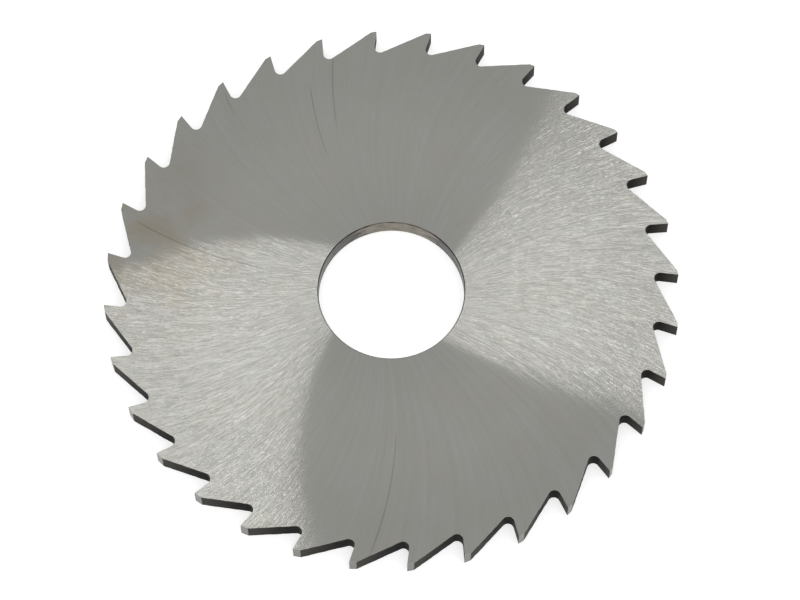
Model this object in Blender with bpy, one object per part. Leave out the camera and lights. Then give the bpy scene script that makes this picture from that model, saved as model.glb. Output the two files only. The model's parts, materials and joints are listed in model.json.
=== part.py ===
# A metal slitting saw: one disc of high-speed steel with a plain bore, hollow ground sides
# and coarse milled teeth round its edge.
# Units are metres. The bore lies along Z, the tooth tips stand on the plane Z = 0, and one
# tip points along +X. Seen from above, the teeth cut clockwise.

import math

import bmesh
import bpy

# The disc
OUTSIDE_DIAMETER = 0.063
BORE_DIAMETER = 0.016
BORE_CHAMFER = 0.0002
RIM_WIDTH = 0.0025
HUB_DIAMETER = 0.032
SIDE_RELIEF = math.radians(0.25)

# The teeth
TOOTH_COUNT = 32
TOOTH_DEPTH = 0.0026
GULLET_RADIUS = 0.00065
RAKE = math.radians(10.0)
LAND_LENGTH = 0.0007
LAND_RELIEF = math.radians(8.0)

# The ring of plain disc between the bottoms of the gullets and the first round line of the web
WEB_MARGIN = 0.0004

# How finely round stretches are drawn
GULLET_STEPS = 8
ROUND_STEPS_PER_TOOTH = 5

# Finishes: linear colour, metallic, roughness
GROUND_STEEL = ((0.42, 0.42, 0.40), 1.0, 0.34)
MILLED_STEEL = ((0.045, 0.043, 0.041), 1.0, 0.5)

TIP_RADIUS = OUTSIDE_DIAMETER / 2
HUB_RADIUS = HUB_DIAMETER / 2
BORE_RADIUS = BORE_DIAMETER / 2
ROOT_RADIUS = TIP_RADIUS - TOOTH_DEPTH
PITCH = 2 * math.pi / TOOTH_COUNT
ROUND_STEPS = TOOTH_COUNT * ROUND_STEPS_PER_TOOTH


def half_width(radius):
    """Half of the disc's width. It thins from the tips to the hub, so the sides clear the cut."""
    ground = TIP_RADIUS - max(radius, HUB_RADIUS)
    return RIM_WIDTH / 2 - ground * math.tan(SIDE_RELIEF)


def gullet_centre():
    """Centre of the gullet's round bottom. It touches the rake face of the tooth whose tip is
    on +X and, TOOTH_DEPTH inside the tips, the root circle."""
    across = TIP_RADIUS * math.cos(RAKE)
    reach = ROOT_RADIUS + GULLET_RADIUS
    tip_to_rake_line = TIP_RADIUS * math.sin(RAKE) - GULLET_RADIUS
    along_rake = across - math.sqrt(reach**2 - tip_to_rake_line**2)
    x = TIP_RADIUS - along_rake * math.cos(RAKE) - GULLET_RADIUS * math.sin(RAKE)
    y = along_rake * math.sin(RAKE) - GULLET_RADIUS * math.cos(RAKE)
    return x, y


def tooth_corners():
    """Points of one tooth and its gullet, from the tip on +X to just before the next tip:
    the tip, the heel of the land, then the round bottom of the gullet behind the straight back.
    """
    tip = (TIP_RADIUS, 0.0)
    heel = (
        TIP_RADIUS - LAND_LENGTH * math.sin(LAND_RELIEF),
        LAND_LENGTH * math.cos(LAND_RELIEF),
    )
    centre = turned(gullet_centre(), PITCH)
    to_heel = math.atan2(heel[1] - centre[1], heel[0] - centre[0])
    heel_distance = math.dist(heel, centre)
    # The back leaves the heel and runs into the round bottom as a tangent
    start = to_heel - math.acos(GULLET_RADIUS / heel_distance)
    # The round bottom ends where it touches the rake face, at right angles to that face
    end = PITCH + RAKE + math.pi / 2 - 2 * math.pi
    bottom = []
    for step in range(GULLET_STEPS + 1):
        angle = start + (end - start) * step / GULLET_STEPS
        x = centre[0] + GULLET_RADIUS * math.cos(angle)
        y = centre[1] + GULLET_RADIUS * math.sin(angle)
        bottom.append((x, y))
    return [tip, heel, *bottom]


def turned(point, angle):
    """A point of the plan, turned round the bore."""
    x = point[0] * math.cos(angle) - point[1] * math.sin(angle)
    y = point[0] * math.sin(angle) + point[1] * math.cos(angle)
    return x, y


def toothed_outline():
    """The whole toothed edge, counter-clockwise."""
    corners = tooth_corners()
    outline = []
    for tooth in range(TOOTH_COUNT):
        outline += [turned(corner, tooth * PITCH) for corner in corners]
    return outline


def circle(radius):
    """A round line of the disc, counter-clockwise, with a point in line with every tip."""
    return [turned((radius, 0.0), 2 * math.pi * step / ROUND_STEPS) for step in range(ROUND_STEPS)]


def add_loop(bm, plan, side, inset=0.0):
    """A closed line on the upper (side 1) or lower (side -1) face of the disc."""
    verts = []
    for x, y in plan:
        height = RIM_WIDTH / 2 + side * (half_width(math.hypot(x, y)) - inset)
        verts.append(bm.verts.new((x, y, height)))
    return verts


def loop_edges(bm, verts):
    return [bm.edges.new((verts[i - 1], verts[i])) for i in range(len(verts))]


def add_band(bm, first, second):
    """A band of faces between two closed lines with as many points."""
    faces = []
    for i in range(len(first)):
        faces.append(bm.faces.new((first[i - 1], first[i], second[i], second[i - 1])))
    return faces


def add_side(bm, side):
    """One ground face, from the toothed edge over the web and the hub to the bore's chamfer."""
    edge = add_loop(bm, toothed_outline(), side)
    web = add_loop(bm, circle(ROOT_RADIUS - WEB_MARGIN), side)
    hub = add_loop(bm, circle(HUB_RADIUS), side)
    mouth = add_loop(bm, circle(BORE_RADIUS + BORE_CHAMFER), side)
    bore = add_loop(bm, circle(BORE_RADIUS), side, BORE_CHAMFER)
    outer_edges = loop_edges(bm, edge) + loop_edges(bm, web)
    bmesh.ops.triangle_fill(bm, use_beauty=True, edges=outer_edges, normal=(0, 0, side))
    add_band(bm, web, hub)
    add_band(bm, hub, mouth)
    add_band(bm, mouth, bore)
    return edge, bore


def steel(name, finish):
    colour, metallic, roughness = finish
    material = bpy.data.materials.new(name)
    material.use_nodes = True
    shader = material.node_tree.nodes["Principled BSDF"]
    shader.inputs["Base Color"].default_value = (*colour, 1.0)
    shader.inputs["Metallic"].default_value = metallic
    shader.inputs["Roughness"].default_value = roughness
    material.diffuse_color = (*colour, 1.0)
    return material


def build_saw_blade():
    bm = bmesh.new()
    upper_edge, upper_bore = add_side(bm, 1)
    lower_edge, lower_bore = add_side(bm, -1)
    add_band(bm, upper_bore, lower_bore)
    for face in add_band(bm, lower_edge, upper_edge):
        face.material_index = 1
    bmesh.ops.recalc_face_normals(bm, faces=bm.faces)
    mesh = bpy.data.meshes.new("saw_blade")
    bm.to_mesh(mesh)
    bm.free()
    mesh.materials.append(steel("ground_steel", GROUND_STEEL))
    mesh.materials.append(steel("milled_steel", MILLED_STEEL))
    mesh.shade_smooth()
    mesh.set_sharp_from_angle(angle=math.radians(25.0))
    blade = bpy.data.objects.new("saw_blade", mesh)
    bpy.context.scene.collection.objects.link(blade)
    return blade


def main():
    for old in list(bpy.data.objects):
        bpy.data.objects.remove(old)
    build_saw_blade()


main()
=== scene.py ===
# %% [markdown]
# # A slitting saw on white
#
# A slitting saw is a thin milling cutter: a disc of high-speed steel that is turned, hardened,
# ground on both sides and toothed all round. This lesson gives it the finish that its
# photograph shows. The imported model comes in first, as a fixed frame that tells where the saw
# is and how large it is. Its own mesh is never moved or changed here.

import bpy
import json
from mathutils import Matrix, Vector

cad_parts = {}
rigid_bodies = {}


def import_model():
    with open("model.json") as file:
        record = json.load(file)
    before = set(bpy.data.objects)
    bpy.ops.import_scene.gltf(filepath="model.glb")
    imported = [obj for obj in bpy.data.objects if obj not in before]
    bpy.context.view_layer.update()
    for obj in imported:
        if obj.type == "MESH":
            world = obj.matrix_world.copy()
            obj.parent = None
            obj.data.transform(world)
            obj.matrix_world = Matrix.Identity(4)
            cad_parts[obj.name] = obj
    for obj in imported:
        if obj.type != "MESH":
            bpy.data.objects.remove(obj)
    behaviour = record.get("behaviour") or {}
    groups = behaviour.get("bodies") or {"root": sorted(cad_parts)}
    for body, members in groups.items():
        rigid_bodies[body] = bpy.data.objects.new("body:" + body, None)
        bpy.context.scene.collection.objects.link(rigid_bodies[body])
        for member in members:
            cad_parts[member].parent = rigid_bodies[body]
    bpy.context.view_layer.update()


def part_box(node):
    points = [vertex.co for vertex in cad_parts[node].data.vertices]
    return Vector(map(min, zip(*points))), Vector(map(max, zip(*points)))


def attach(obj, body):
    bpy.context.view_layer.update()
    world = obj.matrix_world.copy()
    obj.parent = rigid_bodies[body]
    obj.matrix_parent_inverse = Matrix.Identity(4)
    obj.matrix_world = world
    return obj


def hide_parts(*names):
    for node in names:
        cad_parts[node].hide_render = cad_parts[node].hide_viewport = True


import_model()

# %% [markdown]
# ## Sizes of the saw
#
# The outside diameter and the width come from the frame, so they follow the solid. The other
# sizes are those of the standard saw of this diameter, but for the teeth and the chamfer,
# which were fitted to the photograph. A tooth is described the way a toolmaker would: how
# deep its gullet is, how far its face hooks forward, how long the ground land behind its tip
# is, and how round the bottom of the gullet is.

# %% Sizes in metres
import json
import math

import bmesh
import bpy
from mathutils import Matrix, Vector

MM = 0.001
low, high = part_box("saw_blade")
tip_radius = (high.x - low.x) / 2
rim_width = high.z - low.z
middle = (high.z + low.z) / 2

bore_radius = 8.0 * MM
bore_chamfer = 0.1 * MM
hub_radius = 16.0 * MM
side_relief = math.radians(0.25)

tooth_count = 32
tooth_depth = 2.6 * MM
gullet_radius = 0.65 * MM
rake = math.radians(10)
land_length = 0.7 * MM
land_relief = math.radians(8)
pitch = math.tau / tooth_count
print(f"saw {2000 * tip_radius:.1f} x {1000 * rim_width:.2f} mm, {tooth_count} teeth")

# %% [markdown]
# ## The camera
#
# The photograph was taken from high in front, 68 degrees above the table, with a long lens.
# The camera stands close enough that the near teeth are drawn a little larger than the far
# ones. It is placed by its distance and its angles round the point that it looks at, and then
# rolled a hair to level the picture. All of these values were fitted to the tips of the teeth
# and to both edges of the bore.

# %% Camera
camera_distance = 382.2 * MM
camera_height_angle = math.radians(67.99)
camera_side_angle = math.radians(-2.33)
camera_roll = math.radians(-0.84)
camera_lens_mm = 157.4
aim_in_photo = Vector((0.93 * MM, -1.24 * MM, high.z))

turn = Matrix.Rotation(camera_side_angle, 4, "Z")
tilt = Matrix.Rotation(math.pi / 2 - camera_height_angle, 4, "X")
roll = Matrix.Rotation(camera_roll, 4, "Z")
aim = turn @ aim_in_photo
back = (turn @ tilt).to_3x3() @ Vector((0, 0, 1))

bpy.ops.object.select_all(action="DESELECT")
bpy.ops.object.camera_add(location=aim + camera_distance * back)
camera = bpy.context.object
camera.name = "camera"
camera.rotation_euler = (turn @ tilt @ roll).to_euler()
camera.data.lens = camera_lens_mm
camera.data.sensor_width = 36
camera.data.clip_start = 10 * MM
camera.data.dof.use_dof = False
bpy.context.scene.camera = camera
print("camera at", [round(v, 4) for v in camera.location])

# %% [markdown]
# ## The blank
#
# The real saw starts as a turned disc. Here it starts as a cylinder of the same size, with
# enough sides to look round. Whatever is selected would be changed too, so nothing stays
# selected before a new piece is added.


# %% Add the blank
def add_piece(name, primitive, **placed):
    """Adds one primitive at its size and place, on its own, and names it."""
    bpy.ops.object.select_all(action="DESELECT")
    primitive(**placed)
    piece = bpy.context.object
    piece.name = name
    piece.data.name = name
    return piece


steps_per_tooth = 10
round_steps = tooth_count * steps_per_tooth
blade = add_piece(
    "ground_saw_blade",
    bpy.ops.mesh.primitive_cylinder_add,
    vertices=round_steps,
    radius=tip_radius,
    depth=rim_width,
    location=(0, 0, middle),
)
print("blank:", len(blade.data.vertices), "points")

# %% [markdown]
# ## One gullet
#
# A gullet is milled by a wheel with a rounded edge. It leaves three surfaces: the straight
# back of one tooth, the round bottom, and the face of the next tooth, which leans forward by
# the rake angle. The cutting body here is made from the same two things: a small cylinder for
# the round bottom and an upright rectangle at the mouth, wrapped in one convex skin. The flat
# sides of the skin are then tangent to the round bottom without any trimming.


# %% Where the round bottom lies
def polar(radius, angle):
    """A point of the plan at that distance from the bore's axis, in that direction."""
    return Vector((radius * math.cos(angle), radius * math.sin(angle), 0))


root_radius = tip_radius - tooth_depth
next_tip = polar(tip_radius, pitch)
face_inward = -polar(1, pitch - rake)
into_gullet = polar(1, pitch - rake - math.pi / 2)
offset = tip_radius * math.sin(rake) - gullet_radius
reach = root_radius + gullet_radius
face_length = tip_radius * math.cos(rake) - math.sqrt(reach**2 - offset**2)
bottom_centre = next_tip + face_length * face_inward + gullet_radius * into_gullet
floor_depth = tip_radius - bottom_centre.length + gullet_radius
print(f"gullet floor {1000 * floor_depth:.2f} mm deep")

# %% The straight back, tangent to the round bottom
tip = polar(tip_radius, 0)
land_direction = polar(1, math.pi / 2 + land_relief)
heel = tip + land_length * land_direction
to_heel = heel - bottom_centre
heel_angle = math.atan2(to_heel.y, to_heel.x)
touch_angle = heel_angle - math.acos(gullet_radius / to_heel.length)
touch_point = bottom_centre + gullet_radius * polar(1, touch_angle)
back_outward = (heel - touch_point).normalized()
print(f"straight back {1000 * (heel - touch_point).length:.2f} mm long")

# %% The cutting body
mouth_clearance = 0.3 * MM
mouth_back = heel + back_outward * mouth_clearance / back_outward.x
mouth_face = next_tip - face_inward * mouth_clearance
mouth = mouth_face - mouth_back
mouth_angle = math.atan2(mouth.y, mouth.x)
cutter_height = 2 * rim_width
gullet_sides = 64

gullet_cutter = add_piece(
    "gullet_cutter",
    bpy.ops.mesh.primitive_cylinder_add,
    vertices=gullet_sides,
    radius=gullet_radius,
    depth=cutter_height,
    location=(*bottom_centre.xy, middle),
)
bpy.ops.object.mode_set(mode="EDIT")
bpy.ops.mesh.primitive_plane_add(
    size=cutter_height,
    location=(*((mouth_face + mouth_back) / 2).xy, middle),
    rotation=(math.pi / 2, 0, mouth_angle),
)
bpy.ops.transform.resize(
    value=(mouth.length / cutter_height, 1, 1),
    orient_matrix=Matrix.Rotation(mouth_angle, 3, "Z"),
    orient_matrix_type="GLOBAL",
    constraint_axis=(True, False, False),
)
bpy.ops.mesh.select_all(action="SELECT")
bpy.ops.mesh.convex_hull()
bpy.ops.object.mode_set(mode="OBJECT")
bpy.ops.object.transform_apply()
print("cutting body:", [round(v / MM, 2) for v in gullet_cutter.dimensions], "mm")

# %% [markdown]
# ## One land
#
# The land is the narrow strip behind each tip that is ground last. It drops away from the
# round by a few degrees, so that only the tip touches the work. A block whose inner side lies
# on the land stands for the grinding wheel.

# %% The grinding block
block_lead = 0.3 * MM
block_length = 2.4 * MM
block_thickness = 1.0 * MM
land_outward = polar(1, land_relief)
block_centre = (
    tip + (block_length / 2 - block_lead) * land_direction + block_thickness / 2 * land_outward
)
land_cutter = add_piece(
    "land_cutter",
    bpy.ops.mesh.primitive_cube_add,
    size=1,
    location=(*block_centre.xy, middle),
    rotation=(0, 0, land_relief),
    scale=(block_thickness, block_length, cutter_height),
)
bpy.ops.object.transform_apply()
print("grinding block:", [round(v / MM, 2) for v in land_cutter.dimensions], "mm")

# %% [markdown]
# ## All the way round
#
# Both cutting bodies are copied round the bore, once for every tooth, each with its own mesh.
# In the photograph the lands aren't all of one length: those at the left are almost twice as
# long as those at the right, while the tips stay evenly spaced. That is what a little run-out
# of the blank does while the gullets are milled. So each gullet slides along its own tooth
# face by a small amount that changes once round the saw.

# %% Copy round the bore
run_out = 0.09 * MM
run_out_direction = math.radians(-162)


def copy_turned(piece, tooth, move=Vector((0, 0, 0))):
    """A copy with its own mesh, moved and then turned round the bore to that tooth."""
    copied = piece.copy()
    copied.data = piece.data.copy()
    bpy.context.collection.objects.link(copied)
    copied.data.transform(Matrix.Rotation(tooth * pitch, 4, "Z") @ Matrix.Translation(move))
    return copied


def join(pieces):
    """Joins pieces into the first one."""
    bpy.ops.object.select_all(action="DESELECT")
    for piece in pieces:
        piece.select_set(True)
    bpy.context.view_layer.objects.active = pieces[0]
    bpy.ops.object.join()


def gullet_slide(tooth):
    """How far the gullet after that tooth slides along the next tooth's face."""
    face_direction = (tooth + 1) * pitch - rake
    return -run_out * math.cos(face_direction - run_out_direction) * face_inward


gullets = [gullet_cutter]
lands = [land_cutter]
for tooth in range(1, tooth_count):
    gullets.append(copy_turned(gullet_cutter, tooth, gullet_slide(tooth)))
    lands.append(copy_turned(land_cutter, tooth))
gullet_cutter.data.transform(Matrix.Translation(gullet_slide(0)))
join(gullets)
join(lands)
print(len(gullets), "gullets and", len(lands), "lands to cut")

# %% Cut the teeth
sliver = 0.005 * MM


def cut(piece, cutter):
    """Takes the cutter out of the piece, merges slivers and deletes the cutter."""
    boolean = piece.modifiers.new("cut", "BOOLEAN")
    boolean.operation = "DIFFERENCE"
    boolean.object = cutter
    bpy.ops.object.select_all(action="DESELECT")
    bpy.context.view_layer.objects.active = piece
    piece.select_set(True)
    bpy.ops.object.modifier_apply(modifier=boolean.name)
    bpy.data.objects.remove(cutter)
    bpy.ops.object.mode_set(mode="EDIT")
    bpy.ops.mesh.select_all(action="SELECT")
    bpy.ops.mesh.remove_doubles(threshold=sliver)
    bpy.ops.object.mode_set(mode="OBJECT")


cut(blade, land_cutter)
cut(blade, gullet_cutter)
print("toothed disc:", len(blade.data.polygons), "faces")

# %% [markdown]
# ## Picking points, edges and faces
#
# From here on the saw is worked on in edit mode. Points, edges and faces are picked by a test
# of their place or their normal and never by a number, so the steps still work when a size
# changes.

# %% Pick by a test
corner_margin = 0.01 * MM


def select(piece, kind, test):
    """In edit mode, selects the verts, edges or faces that pass the test, and nothing else."""
    bpy.ops.mesh.select_mode(type={"verts": "VERT", "edges": "EDGE", "faces": "FACE"}[kind])
    bpy.ops.mesh.select_all(action="DESELECT")
    bm = bmesh.from_edit_mesh(piece.data)
    chosen = [item for item in getattr(bm, kind) if test(item)]
    for item in chosen:
        item.select_set(True)
    bm.select_flush_mode()
    bmesh.update_edit_mesh(piece.data)
    return len(chosen)


def at_height(edge, height):
    """Whether an edge lies in the level plane at that height."""
    return all(abs(v.co.z - height) < corner_margin for v in edge.verts)


# %% [markdown]
# ## The milled backs
#
# The long backs of the teeth are left as the milling wheel made them. Seen closely, their
# edges waver by a few hundredths of a millimetre and carry a thin burr, while the lands behind
# the tips are ground straight. So only the long edges get more points, and those points are
# moved a little at random, with a fixed seed. Flattening them afterwards keeps both sides
# plane.

# %% Let the long edges waver
waver = 0.018 * MM
waver_cuts = 13
waver_seed = 7
shortest_back = 3 * MM
# The blank's place goes into its mesh, so that edit mode shows heights above the table
bpy.ops.object.transform_apply()
bpy.ops.object.mode_set(mode="EDIT")


def long_edge(edge):
    """Whether an edge is the upper or the lower edge of a tooth's long back."""
    level = at_height(edge, high.z) or at_height(edge, low.z)
    return level and edge.calc_length() > shortest_back


def flatten(height, test):
    """Presses the points that pass the test onto the level plane at that height."""
    select(blade, "verts", test)
    bpy.ops.transform.resize(value=(1, 1, 0), center_override=(0, 0, height))


edge_count = select(blade, "edges", long_edge)
bpy.ops.mesh.subdivide(number_cuts=waver_cuts)
bpy.ops.mesh.select_mode(type="VERT")
bpy.ops.mesh.select_less(use_face_step=False)
bpy.ops.transform.vertex_random(offset=waver, uniform=1.0, seed=waver_seed)
flatten(high.z, lambda vert: vert.co.z > middle)
flatten(low.z, lambda vert: vert.co.z < middle)
print(edge_count, "long edges with", waver_cuts, "points each")

# %% [markdown]
# ## The edges
#
# A sharp grinding wheel leaves a hard edge. The toothed edge of both sides is broken by two
# hundredths of a millimetre, which is enough to catch a line of light.

# %% Break the edges
edge_break = 0.02 * MM
break_segments = 2
edge_count = select(blade, "edges", lambda e: at_height(e, high.z) or at_height(e, low.z))
bpy.ops.mesh.bevel(offset=edge_break, segments=break_segments, affect="EDGES")
print(edge_count, "edges broken")

# %% [markdown]
# ## The two sides
#
# Each side is first a single flat face. It is taken away, a round line is added just inside
# the gullets, and the ring between the teeth and that line is filled again. The round line is
# then extruded inwards, step by step: to the hub, to the mouth of the bore, and down its small
# chamfer. Two rings of edges are left, one in each side, and bridging them makes the bore.

# %% Fill the sides and make the bore
web_margin = 0.4 * MM
web_radius = root_radius - run_out - web_margin
mouth_radius = bore_radius + bore_chamfer


def extrude_ring(radius, new_radius, height, move=0.0):
    """Extrudes the ring of edges at one radius to another one, and moves it along the bore."""

    def on_ring(edge):
        return at_height(edge, height) and all(
            abs(v.co.xy.length - radius) < corner_margin for v in edge.verts
        )

    select(blade, "edges", on_ring)
    bpy.ops.mesh.extrude_region_move()
    scale = new_radius / radius
    bpy.ops.transform.resize(value=(scale, scale, 1), center_override=(0, 0, height))
    bpy.ops.transform.translate(value=(0, 0, move))


def fill_side(height, outward):
    """Fills one side from the teeth to the bore; outward is 1 for the upper and -1 for the lower."""

    def flat_cap(face):
        return len(face.verts) > round_steps and face.normal.z * outward > 0

    def open_edge(edge):
        return at_height(edge, height) and (edge.is_boundary or edge.is_wire)

    select(blade, "faces", flat_cap)
    bpy.ops.mesh.delete(type="ONLY_FACE")
    bpy.ops.mesh.primitive_circle_add(
        vertices=round_steps, radius=web_radius, location=(0, 0, height)
    )
    select(blade, "edges", open_edge)
    bpy.ops.mesh.fill(use_beauty=True)
    extrude_ring(web_radius, hub_radius, height)
    extrude_ring(hub_radius, mouth_radius, height)
    extrude_ring(mouth_radius, bore_radius, height, -outward * bore_chamfer)


fill_side(high.z, 1)
fill_side(low.z, -1)
ring_count = select(blade, "edges", lambda edge: edge.is_boundary)
bpy.ops.mesh.bridge_edge_loops()
print("bore bridged between", ring_count, "edges")

# %% [markdown]
# ## The hollow grinding
#
# The saw is a little thinner at the hub than at the teeth, so that its sides don't rub in the
# slot that it cuts. A quarter of a degree is too little to see as a shape, but the light shows
# where it stops at the hub. With proportional editing and a linear falloff the hub is pushed
# in, and all points between it and the tips follow in proportion, which makes a true cone. The
# other side is hidden meanwhile, because hidden points stay where they are.

# %% Push the hubs in
hollow_depth = (tip_radius - hub_radius) * math.tan(side_relief)


def push_hub(outward):
    """Pushes one side's hub in; outward is 1 for the upper side and -1 for the lower."""

    def on_side(vert):
        return (vert.co.z - middle) * outward > 0

    def in_hub(vert):
        return on_side(vert) and vert.co.xy.length < hub_radius + corner_margin

    select(blade, "verts", on_side)
    bpy.ops.mesh.hide(unselected=True)
    select(blade, "verts", in_hub)
    bpy.ops.transform.translate(
        value=(0, 0, -outward * hollow_depth),
        use_proportional_edit=True,
        proportional_edit_falloff="LINEAR",
        proportional_size=tip_radius - hub_radius,
    )
    bpy.ops.mesh.reveal(select=False)


push_hub(1)
push_hub(-1)
bpy.ops.mesh.select_all(action="SELECT")
bpy.ops.mesh.normals_make_consistent(inside=False)
bpy.ops.object.mode_set(mode="OBJECT")
print(f"hubs {1000 * hollow_depth:.3f} mm below the tips")

# %% [markdown]
# ## Which face is what
#
# The saw is one piece of steel, but each tool has left its own surface on it. The sides
# and the bore are ground, the lands are ground in another direction, and the gullets are only
# milled, so they keep the dark skin of the hardening furnace. Each face gets its finish by
# where it lies and which way it faces. Smooth shading is limited by angle, so the round
# bottoms look round and the broken edges stay crisp.

# %% Sort the faces by finish
SIDES, GULLETS, LANDS, BORE = range(4)
deepest_land = 0.3 * MM
land_facing = math.cos(math.radians(16))
least_side_rise = 0.2
smooth_angle = math.radians(20)


def finish_of(face):
    """The finish of a face, from its place and its direction."""
    place, normal = Vector(face.center), Vector(face.normal)
    if place.xy.length < bore_radius + bore_chamfer:
        return BORE
    if abs(normal.z) > least_side_rise:
        return SIDES
    facing_out = normal.dot(place.normalized())
    if facing_out > land_facing and place.xy.length > tip_radius - deepest_land:
        return LANDS
    return GULLETS


for face in blade.data.polygons:
    face.material_index = finish_of(face)
bpy.ops.object.select_all(action="DESELECT")
blade.select_set(True)
bpy.context.view_layer.objects.active = blade
bpy.ops.object.shade_smooth_by_angle(angle=smooth_angle)
finishes = [face.material_index for face in blade.data.polygons]
print("sides, gullets, lands, bore:", [finishes.count(k) for k in (SIDES, GULLETS, LANDS, BORE)])

# %% [markdown]
# ## Colours and nodes
#
# Colours are written as they look on a screen and turned to the linear values that light is
# reckoned in. One small function adds any node, with its settings and its links, and returns
# one of its outputs, so that a finish reads from top to bottom like a recipe. Two nodes turn
# up often. MapRange takes a value, the range that it comes from and the range that it is
# mapped to, which is 0 to 1 unless another is given. Mix takes a share and then, as its
# inputs 6 and 7, two colours. Patterns are drawn in millimetres, from the saw's own
# coordinates, so they stay on it when it moves.


# %% Helpers for colours and nodes
to_mm = 1 / MM


def hex_colour(text):
    """A linear colour from its sRGB hex value."""
    channels = [int(text[i : i + 2], 16) / 255 for i in (1, 3, 5)]
    linear = [c / 12.92 if c <= 0.04045 else ((c + 0.055) / 1.055) ** 2.4 for c in channels]
    return (*linear, 1)


def add(tree, kind, *values, output=0, named=None, **settings):
    """Adds a node, makes its settings, links or fills its inputs, and returns one output."""
    node = tree.nodes.new("ShaderNode" + kind)
    for name, value in settings.items():
        setattr(node, name, value)
    for place, value in [*enumerate(values), *(named or {}).items()]:
        if isinstance(value, bpy.types.NodeSocket):
            tree.links.new(value, node.inputs[place])
        else:
            node.inputs[place].default_value = value
    return node.outputs[output] if node.outputs else None


def new_material(name):
    """A material with an empty tree."""
    material = bpy.data.materials.new(name)
    material.use_nodes = True
    material.node_tree.nodes.clear()
    return material, material.node_tree


# %% [markdown]
# ## The grinding marks
#
# A cup wheel larger than the saw grinds each side while the saw turns, and every grain of the
# wheel draws an arc across it. All these arcs have one radius, and their centres lie on one
# circle round the bore. So a point's mark can be named by a single angle: where on that circle
# the centre of its arc lies. A pattern that changes quickly with this angle and slowly with
# the distance from the bore is a set of scratches that follow the arcs.

# %% The arcs, in millimetres
arc_radius = 41.0
level_radius = 14.0
centre_circle = math.hypot(arc_radius, level_radius)


def plan_sockets(tree):
    """A point's place in the plan, its x and y, and its distance from the bore's axis, in mm."""
    metres = add(tree, "TexCoord", output="Object")
    place = add(tree, "VectorMath", metres, (to_mm, to_mm, 0), operation="MULTIPLY")
    x = add(tree, "SeparateXYZ", place, output="X")
    y = add(tree, "SeparateXYZ", place, output="Y")
    radius = add(tree, "VectorMath", place, operation="LENGTH", output="Value")
    return place, x, y, radius


def arc_sockets(tree, x, y, radius):
    """The angle that names a point's arc, and how far the arc leans from the radius there."""
    around = add(tree, "Math", y, x, operation="ARCTAN2")
    square = add(tree, "Math", radius, radius, operation="MULTIPLY")
    near_side = add(tree, "Math", square, level_radius**2, operation="ADD")
    far_side = add(tree, "Math", radius, 2 * centre_circle, operation="MULTIPLY")
    cosine = add(tree, "Math", near_side, far_side, operation="DIVIDE")
    opening = add(tree, "Math", cosine, operation="ARCCOSINE")
    arc = add(tree, "Math", around, opening, operation="SUBTRACT")
    # The lean's sine is (level radius^2 - r^2) / (2 r arc radius): none at the level radius
    lean_side = add(tree, "Math", level_radius**2, square, operation="SUBTRACT")
    lean_base = add(tree, "Math", radius, 2 * arc_radius, operation="MULTIPLY")
    lean = add(tree, "Math", lean_side, lean_base, operation="DIVIDE")
    return arc, lean


print(f"arcs of {arc_radius:.0f} mm, their centres {centre_circle:.1f} mm from the bore's axis")

# %% Scratches that follow the arcs
# The radius, in mm, at which a scratch is as wide as it is said to be
mid_radius = 20.0


def scratches(tree, arc, radius, width, length, detail=2.0, start=0.0):
    """A noise with grains of that width across the arcs and that length along them, in mm."""
    # The arc's angle runs round a circle in the noise, so that the pattern closes on itself
    circle = mid_radius / width
    cosine = add(tree, "Math", arc, operation="COSINE")
    sine = add(tree, "Math", arc, operation="SINE")
    first = add(tree, "Math", cosine, circle, operation="MULTIPLY")
    second = add(tree, "Math", sine, circle, operation="MULTIPLY")
    along = add(tree, "Math", radius, 1 / length, start, operation="MULTIPLY_ADD")
    place = add(tree, "CombineXYZ", first, second, along)
    return add(tree, "TexNoise", place, named={"Scale": 1, "Detail": detail, "Roughness": 0.6})


# %% [markdown]
# ## Finish: ground high-speed steel
#
# The sides are bare steel, a neutral grey with the least warm tint. Each scratch is a small
# groove with two flanks and a floor. Its flanks throw a reflection far to both sides, and along
# the groove the reflection hardly spreads at all. That is why a ground disc shows bright and
# dark sectors that stay still when it turns: where the scratches run left and right their
# flanks catch the soft box overhead, and where they run away from the eye they miss it.
#
# The material is built in the same way. Three shaders are mixed, one for each flank and one
# for the floor, whose normals are tilted across the arcs. All three are stretched by
# anisotropy, with the tangent set at right angles to the arcs, because the shader spreads its
# light along the tangent. The real scratches are a few thousandths of a millimetre wide and
# can't be seen one by one, so they are drawn a tenth of a millimetre wide, as coarse as the
# picture needs. How steep they are changes from scratch to scratch, and this gives the bright
# sectors their grain and leaves the dark ones calm. Some long scores, short bright flecks and
# a brownish stain near the teeth tell that the saw has been handled.

# %% Long scores
# Each score by its arc, in radians, and the radii that it runs between, in mm; its half width
# and the length of its faint ends are in mm too
SCORES = ((1.66, 14, 30), (1.05, 27, 31), (0.6, 20, 30), (0.7, 17, 27), (-2.83, 16, 31))
score_half_width = 0.09
score_taper = 2
score_darkness = 0.22


def score_socket(tree, arc, radius):
    """One on the long scores and zero beside them."""
    scored = 0.0
    off_arc = score_half_width / mid_radius
    for score_arc, inner, outer in SCORES:
        turned = add(tree, "Math", arc, score_arc, operation="SUBTRACT")
        gap = add(tree, "Math", turned, operation="ABSOLUTE")
        on_arc = add(tree, "MapRange", gap, off_arc / 3, off_arc, 1, 0)
        begun = add(tree, "MapRange", radius, inner, inner + score_taper)
        ended = add(tree, "MapRange", radius, outer - score_taper, outer)
        running = add(tree, "Math", begun, ended, operation="SUBTRACT")
        score = add(tree, "Math", on_arc, running, operation="MULTIPLY")
        scored = add(tree, "Math", score, scored, operation="MAXIMUM")
    return scored


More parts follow.
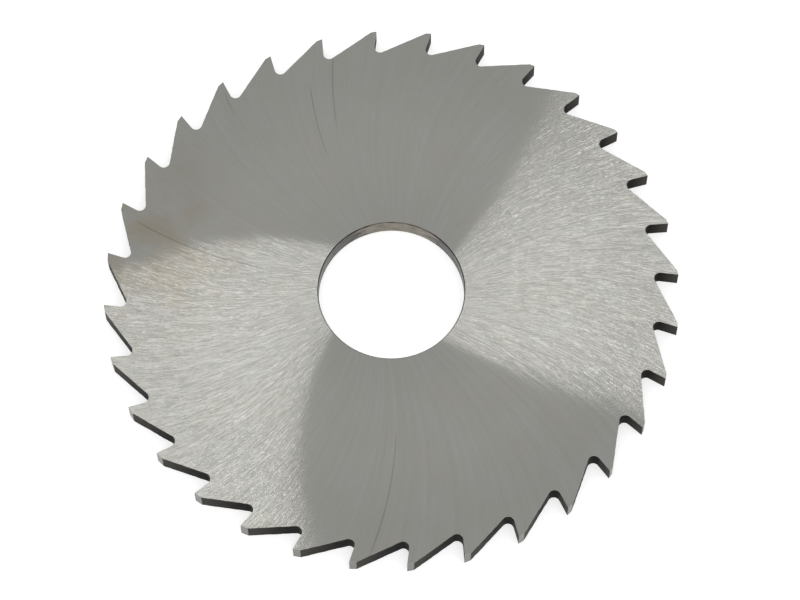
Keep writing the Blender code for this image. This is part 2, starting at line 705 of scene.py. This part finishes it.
# %% The direction across the scratches
def across_socket(tree, place, x, y, lean, broad):
    """The direction in the plan at right angles to a point's arc."""
    # The lean wanders a little from one band of scratches to the next
    wander = add(tree, "MapRange", broad, 0.3, 0.7, -0.02, 0.02)
    leaning = add(tree, "Math", lean, wander, operation="ADD")
    outward = add(tree, "VectorMath", place, operation="NORMALIZE")
    minus_y = add(tree, "Math", y, -1, operation="MULTIPLY")
    sideways_raw = add(tree, "CombineXYZ", minus_y, x)
    sideways = add(tree, "VectorMath", sideways_raw, operation="NORMALIZE")
    leaned = add(tree, "VectorMath", outward, named={"Scale": leaning}, operation="SCALE")
    return add(tree, "VectorMath", sideways, leaned, operation="SUBTRACT")


# %% Gloss of the sides
least_roughness = 0.09


def side_roughness_socket(tree, arc, radius, broad, fine, flecks):
    """Fine scratches and flecks glossier than the rest, and some lines duller."""
    fleck_mask = add(tree, "MapRange", flecks, 0.58, 0.7)
    lines = scratches(tree, arc, radius, width=0.11, length=2, detail=0, start=11)
    line_mask = add(tree, "MapRange", lines, 0.64, 0.74)
    even = add(tree, "MapRange", broad, 0.3, 0.7, 0.185, 0.175)
    gloss = add(tree, "MapRange", fine, 0.3, 0.7, 0.05, -0.05)
    streaked = add(tree, "Math", gloss, even, operation="ADD")
    flecked = add(tree, "Math", fleck_mask, -0.07, streaked, operation="MULTIPLY_ADD")
    lined = add(tree, "Math", line_mask, 0.06, flecked, operation="MULTIPLY_ADD")
    return add(tree, "Math", lined, least_roughness, operation="MAXIMUM")


# %% Colour of the sides
BRIGHT_STEEL = hex_colour("#BDBDB8")
DULL_STEEL = hex_colour("#B9B9B3")
WARM_STEEL = hex_colour("#B3A894")
# The stain's middle, the width of its patches and the distances over which it fades, in mm
stained_place = (-27, 7, 0)
stain_patch = 5
stain_full = 3
stain_gone = 13


def side_colour_socket(tree, place, radius, broad, roughness, scored):
    """Bare steel with a brownish stain, a painted sheen where it is glossy, a darker rim and hub,
    and dark scores.
    """
    shade = add(tree, "MapRange", broad, 0.3, 0.7)
    steel = add(
        tree, "Mix", shade, named={6: DULL_STEEL, 7: BRIGHT_STEEL}, data_type="RGBA", output=2
    )
    stain_look = {"Scale": 1 / stain_patch, "Detail": 3, "Roughness": 0.55}
    stain = add(tree, "TexNoise", place, named=stain_look)
    distance = add(tree, "VectorMath", place, stained_place, operation="DISTANCE", output="Value")
    near_stain = add(tree, "MapRange", distance, stain_full, stain_gone, 0.7, 0.08)
    patches = add(tree, "MapRange", stain, 0.35, 0.65)
    stain_mask = add(tree, "Math", patches, near_stain, operation="MULTIPLY")
    stained = add(
        tree, "Mix", stain_mask, named={6: steel, 7: WARM_STEEL}, data_type="RGBA", output=2
    )
    # Glossy places are a shade paler, which is painted sheen, and the rim and the edge of the bore a
    # shade darker
    painted_sheen = add(tree, "MapRange", roughness, 0.1, 0.28, 1.03, 0.97)
    rim_tone = add(tree, "MapRange", radius, 20, 27, 1.01, 0.94)
    hub_tone = add(tree, "MapRange", radius, 9, 14, 0.95, 1)
    rim_and_hub_darkening = add(tree, "Math", rim_tone, hub_tone, operation="MULTIPLY")
    sheen_and_darkening = add(tree, "Math", painted_sheen, rim_and_hub_darkening, operation="MULTIPLY")
    shaded = add(tree, "Math", scored, -score_darkness, sheen_and_darkening, operation="MULTIPLY_ADD")
    return add(tree, "VectorMath", stained, named={"Scale": shaded}, operation="SCALE")


# %% Ground sides
# The flanks' slopes, as a rise over a run, and the part of the surface that is floor
shallow_flank = 0.14
steep_flank = 0.27
floor_share = 0.2
fleck_weight = 0.85
scratch_depth = 0.002 * MM


def ground_side_material():
    """Bare ground steel whose arcs of scratches make bright and dark sectors."""
    material, tree = new_material("ground high-speed steel")
    place, x, y, radius = plan_sockets(tree)
    arc, lean = arc_sockets(tree, x, y, radius)
    broad = scratches(tree, arc, radius, width=0.6, length=25, start=7)
    fine = scratches(tree, arc, radius, width=0.09, length=1.7)
    flecks = scratches(tree, arc, radius, width=0.09, length=0.4, detail=1, start=3)
    scored = score_socket(tree, arc, radius)
    across = across_socket(tree, place, x, y, lean, broad)
    roughness = side_roughness_socket(tree, arc, radius, broad, fine, flecks)
    colour = side_colour_socket(tree, place, radius, broad, roughness, scored)
    bump = add(tree, "Bump", named={"Strength": 1.0, "Distance": scratch_depth, "Height": fine})

    # A shader for one flank, for the other flank and for the floor
    parts = []
    depth = add(tree, "Math", flecks, fleck_weight, fine, operation="MULTIPLY_ADD")
    steepness = add(tree, "MapRange", depth, 0.68, 1.22, shallow_flank, steep_flank)
    for side in (-1, 1, 0):
        slope = add(tree, "Math", steepness, side, operation="MULTIPLY")
        leaning_over = add(tree, "VectorMath", across, named={"Scale": slope}, operation="SCALE")
        tilted = add(tree, "VectorMath", bump, leaning_over, operation="ADD")
        finish = {
            "Base Color": colour,
            "Metallic": 1.0,
            "Roughness": roughness,
            "Anisotropic": 1.0,
            "Tangent": across,
            "Normal": add(tree, "VectorMath", tilted, operation="NORMALIZE"),
        }
        parts.append(add(tree, "BsdfPrincipled", named=finish))
    flanks = add(tree, "MixShader", 0.5, parts[0], parts[1])
    surface = add(tree, "MixShader", floor_share, flanks, parts[2])
    add(tree, "OutputMaterial", surface)
    return material


side_material = ground_side_material()
print(side_material.name, "with", len(side_material.node_tree.nodes), "nodes")

# %% [markdown]
# ## Finish: milled gullets
#
# The gullets were milled before the saw was hardened, and nobody ground them after it. So they
# still have the dark skin of the furnace, a thin oxide that is rougher than bare steel and paler
# in worn patches. Painted shade darkens them further, and painted light lifts them near the tips.
# Oxide shines less than bare steel where the eye looks along it, so the tint of its edge
# reflection is held down. The mill leaves faint lines along its path, across the width of the saw.

# %% Milled gullets
# The dark skin is darker than the oxide itself, as painted shade; the pale one serves the worn
# patches and the painted light near the tips
DARK_SKIN_AND_SHADE = hex_colour("#1D1B19")
WORN_AND_LIT_SKIN = hex_colour("#45423E")
EDGE_TINT = hex_colour("#CBCBCB")
# The radii between which the skin is painted paler, as painted light near the tips, and the
# widths of its patches and of the mill's lines, in mm
tip_light_from = 29.4
tip_light_to = 31.4
skin_patch = 0.625
mill_line = 0.2
mill_line_depth = 0.012 * MM


def milled_gullet_material():
    """Hardened steel with its furnace skin, painted shade lifted by painted light near the tips, and
    faint mill lines across the width.
    """
    material, tree = new_material("milled steel with hardening skin and painted shade")
    radius = plan_sockets(tree)[3]
    metres = add(tree, "TexCoord", output="Object")
    # Stretched four times along the bore's axis, because the mill moves that way
    stretched = (to_mm, to_mm, to_mm / 4)
    mill_place = add(tree, "VectorMath", metres, stretched, operation="MULTIPLY")
    line_look = {"Scale": 1 / mill_line, "Detail": 3, "Roughness": 0.6}
    lines = add(tree, "TexNoise", mill_place, named=line_look)
    skin_place = add(tree, "VectorMath", metres, (to_mm, to_mm, to_mm), operation="MULTIPLY")
    skin_look = {"Scale": 1 / skin_patch, "Detail": 4, "Roughness": 0.6}
    skin = add(tree, "TexNoise", skin_place, named=skin_look)

    # Paler towards the tips is painted light, so the depths of the gullets keep the painted shade
    painted_light_near_tip = add(tree, "MapRange", radius, tip_light_from, tip_light_to)
    patches_and_light = add(tree, "Math", skin, 0.6, painted_light_near_tip, operation="MULTIPLY_ADD")
    wear_and_light = add(tree, "MapRange", patches_and_light, 0.35, 1.2)
    colour = add(
        tree, "Mix", wear_and_light, named={6: DARK_SKIN_AND_SHADE, 7: WORN_AND_LIT_SKIN}, data_type="RGBA", output=2
    )
    roughness = add(tree, "MapRange", skin, 0.3, 0.7, 0.42, 0.58)
    bump = add(tree, "Bump", named={"Strength": 1.0, "Distance": mill_line_depth, "Height": lines})
    finish = {
        "Base Color": colour,
        "Metallic": 1.0,
        "Specular Tint": EDGE_TINT,
        "Roughness": roughness,
        "Normal": bump,
    }
    surface = add(tree, "BsdfPrincipled", named=finish)
    add(tree, "OutputMaterial", surface)
    return material


gullet_material = milled_gullet_material()
print(gullet_material.name, "with", len(gullet_material.node_tree.nodes), "nodes")

# %% [markdown]
# ## Finish: ground lands
#
# The lands are ground last, with a fine wheel that crosses them along the width of the saw.
# They are narrow, much paler than the gullets beside them, and a little streaky.

# %% Ground lands
LAND_STEEL = hex_colour("#747470")
LAND_STREAK = hex_colour("#62615C")
# A streak's width, in mm, and its depth
land_streak = 1 / 9
land_streak_depth = 0.003 * MM


def ground_land_material():
    """Freshly ground steel with streaks across the width of the saw."""
    material, tree = new_material("freshly ground steel")
    metres = add(tree, "TexCoord", output="Object")
    # Stretched along the bore's axis, because the wheel crosses the land that way
    stretched = (to_mm, to_mm, 0.15 * to_mm)
    streak_place = add(tree, "VectorMath", metres, stretched, operation="MULTIPLY")
    streaks = add(tree, "TexNoise", streak_place, named={"Scale": 1 / land_streak, "Detail": 2})
    mask = add(tree, "MapRange", streaks, 0.35, 0.65)
    colour = add(
        tree, "Mix", mask, named={6: LAND_STREAK, 7: LAND_STEEL}, data_type="RGBA", output=2
    )
    roughness = add(tree, "MapRange", streaks, 0.3, 0.7, 0.26, 0.4)
    relief = {"Strength": 1.0, "Distance": land_streak_depth, "Height": streaks}
    bump = add(tree, "Bump", named=relief)
    finish = {"Base Color": colour, "Metallic": 1.0, "Roughness": roughness, "Normal": bump}
    surface = add(tree, "BsdfPrincipled", named=finish)
    add(tree, "OutputMaterial", surface)
    return material


land_material = ground_land_material()
print(land_material.name, "with", len(land_material.node_tree.nodes), "nodes")

# %% [markdown]
# ## Finish: the bore
#
# The bore is ground by a small wheel that runs round inside it, so its lines go round too. It
# looks browner and duller than the sides, with a few dark streaks: a film of old oil. Away from
# one side of the wall it is darkened further by painted shade.

# %% Ground bore
BORE_STEEL = hex_colour("#7F786C")
OIL_FILM_AND_SHADE = hex_colour("#363431")
# The direction round the bore in which the wall is left without painted shade
paler_azimuth = math.radians(80)
# A line's width, in mm, and its depth
bore_line = 1 / 3
bore_line_depth = 0.004 * MM


def ground_bore_material():
    """Ground steel with lines that run round the bore, under a thin brown film of oil and painted
    shade.
    """
    material, tree = new_material("ground bore with oil film and painted shade")
    metres = add(tree, "TexCoord", output="Object")
    # Stretched four times round the bore, because the wheel runs that way
    stretched = (to_mm / 4, to_mm / 4, to_mm)
    ring_place = add(tree, "VectorMath", metres, stretched, operation="MULTIPLY")
    ring_look = {"Scale": 1 / bore_line, "Detail": 3, "Roughness": 0.65}
    rings = add(tree, "TexNoise", ring_place, named=ring_look)
    place = plan_sockets(tree)[0]
    # Away from that direction the film is darkened further with painted shade
    outward = add(tree, "VectorMath", place, operation="NORMALIZE")
    paler_direction = (math.cos(paler_azimuth), math.sin(paler_azimuth), 0)
    facing = add(tree, "VectorMath", outward, paler_direction, operation="DOT_PRODUCT", output="Value")
    painted_shade_away = add(tree, "MapRange", facing, 0.75, 0.94, 0.3, 0)
    film_and_shade = add(tree, "Math", rings, painted_shade_away, operation="ADD")
    film_and_shade_mask = add(tree, "MapRange", film_and_shade, 0.48, 0.74)
    colour = add(
        tree, "Mix", film_and_shade_mask, named={6: BORE_STEEL, 7: OIL_FILM_AND_SHADE}, data_type="RGBA", output=2
    )
    roughness = add(tree, "MapRange", rings, 0.3, 0.7, 0.28, 0.44)
    bump = add(tree, "Bump", named={"Strength": 1.0, "Distance": bore_line_depth, "Height": rings})
    finish = {"Base Color": colour, "Metallic": 1.0, "Roughness": roughness, "Normal": bump}
    surface = add(tree, "BsdfPrincipled", named=finish)
    add(tree, "OutputMaterial", surface)
    return material


bore_material = ground_bore_material()
print(bore_material.name, "with", len(bore_material.node_tree.nodes), "nodes")

# %% Give the saw its finishes
# The order is that of the numbers SIDES, GULLETS, LANDS and BORE, which the faces hold already
for material in (side_material, gullet_material, land_material, bore_material):
    blade.data.materials.append(material)

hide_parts("saw_blade")
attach(blade, "root")
print("materials:", [material.name for material in blade.data.materials])

# %% [markdown]
# ## The white table
#
# The saw lies on plain white. The table is a matt white plate whose light, as the eye, the
# steel and any glass see it, is topped up to full white. The lamps' own light is left as it
# is, so the soft shadow under the teeth stays.

# %% Table
table_size = 1600 * MM
table_lift = 0.6
table = add_piece(
    "table",
    bpy.ops.mesh.primitive_plane_add,
    size=table_size,
    location=(0, 0, 0),
)
TABLE_WHITE = hex_colour("#F0F0F0")
WHITE = hex_colour("#FFFFFF")


def seen_by_eye(tree):
    """One for what the camera sees, directly, in metal or through glass; zero for other light."""
    camera_ray = add(tree, "LightPath", output="Is Camera Ray")
    glossy_ray = add(tree, "LightPath", output="Is Glossy Ray")
    transmitted_ray = add(tree, "LightPath", output="Is Transmission Ray")
    in_metal = add(tree, "Math", camera_ray, glossy_ray, operation="MAXIMUM")
    return add(tree, "Math", in_metal, transmitted_ray, operation="MAXIMUM")


def white_table_material():
    """Matt white that keeps the lamps' shadow and is topped up to white for the eye."""
    material, tree = new_material("matt white table")
    matt = add(tree, "BsdfDiffuse", TABLE_WHITE)
    lift = add(tree, "Math", seen_by_eye(tree), table_lift, operation="MULTIPLY")
    glow = add(tree, "Emission", WHITE, lift)
    both = add(tree, "AddShader", matt, glow)
    add(tree, "OutputMaterial", both)
    return material


table.data.materials.append(white_table_material())
print("table", table.dimensions.x, "m wide")

# %% [markdown]
# ## The light
#
# The steel is lit like a small thing in a product photograph: a white surround that dims
# overhead, where the ceiling is, and one soft box straight above the table. The matt table
# gets a dimmer and even light from the surround, so that it can be topped up without losing
# the shadow. The soft box is wide from left to right, and its ends flare towards the eye from
# the point that a mirror in the saw's place would show to the eye. So each end lies in one
# direction as the grooves see it, and the bright sectors end crisply.

# %% Surround
world = bpy.data.worlds.new("studio")
bpy.context.scene.world = world
world.use_nodes = True
surround = world.node_tree
surround.nodes.clear()
ceiling_light = 0.545
room_light = 0.6
low_rise = 0.15
high_rise = 0.55
direction = add(surround, "TexCoord", output="Generated")
rise = add(surround, "SeparateXYZ", direction, output="Z")
dimming = add(surround, "MapRange", rise, low_rise, high_rise, 1.0, ceiling_light)
direct = add(surround, "LightPath", output="Is Camera Ray")
backdrop = add(surround, "Math", direct, dimming, operation="MAXIMUM")
strength_mix = add(
    surround, "Mix", seen_by_eye(surround), named={2: room_light, 3: backdrop}, data_type="FLOAT"
)
glow = add(surround, "Background", WHITE, strength_mix)
add(surround, "OutputWorld", glow)
print(f"surround: {room_light} on matt things, {ceiling_light} overhead in the steel")

# %% Soft box
box_height = 700 * MM
box_depth = 160 * MM
box_centre_y = -61 * MM
mirror_y = box_height / math.tan(camera_height_angle)
left_flare = 0.637
right_flare = 0.98
box_radiance = 3.1
front_y = box_centre_y - box_depth / 2
back_y = box_centre_y + box_depth / 2
soft_box = add_piece(
    "soft_box",
    bpy.ops.mesh.primitive_plane_add,
    size=1,
    location=(0, 0, box_height),
)
for corner in soft_box.data.vertices:
    y = front_y if corner.co.y < 0 else back_y
    flare = -left_flare if corner.co.x < 0 else right_flare
    corner.co = (flare * (mirror_y - y), y, 0)
soft_box.visible_camera = False
material, tree = new_material("soft box")
box_glow = add(tree, "Emission", WHITE, box_radiance)
add(tree, "OutputMaterial", box_glow)
soft_box.data.materials.append(material)
bpy.context.scene.view_settings.view_transform = "Standard"
print(f"soft box from y {front_y:.3f} to {back_y:.3f} m")
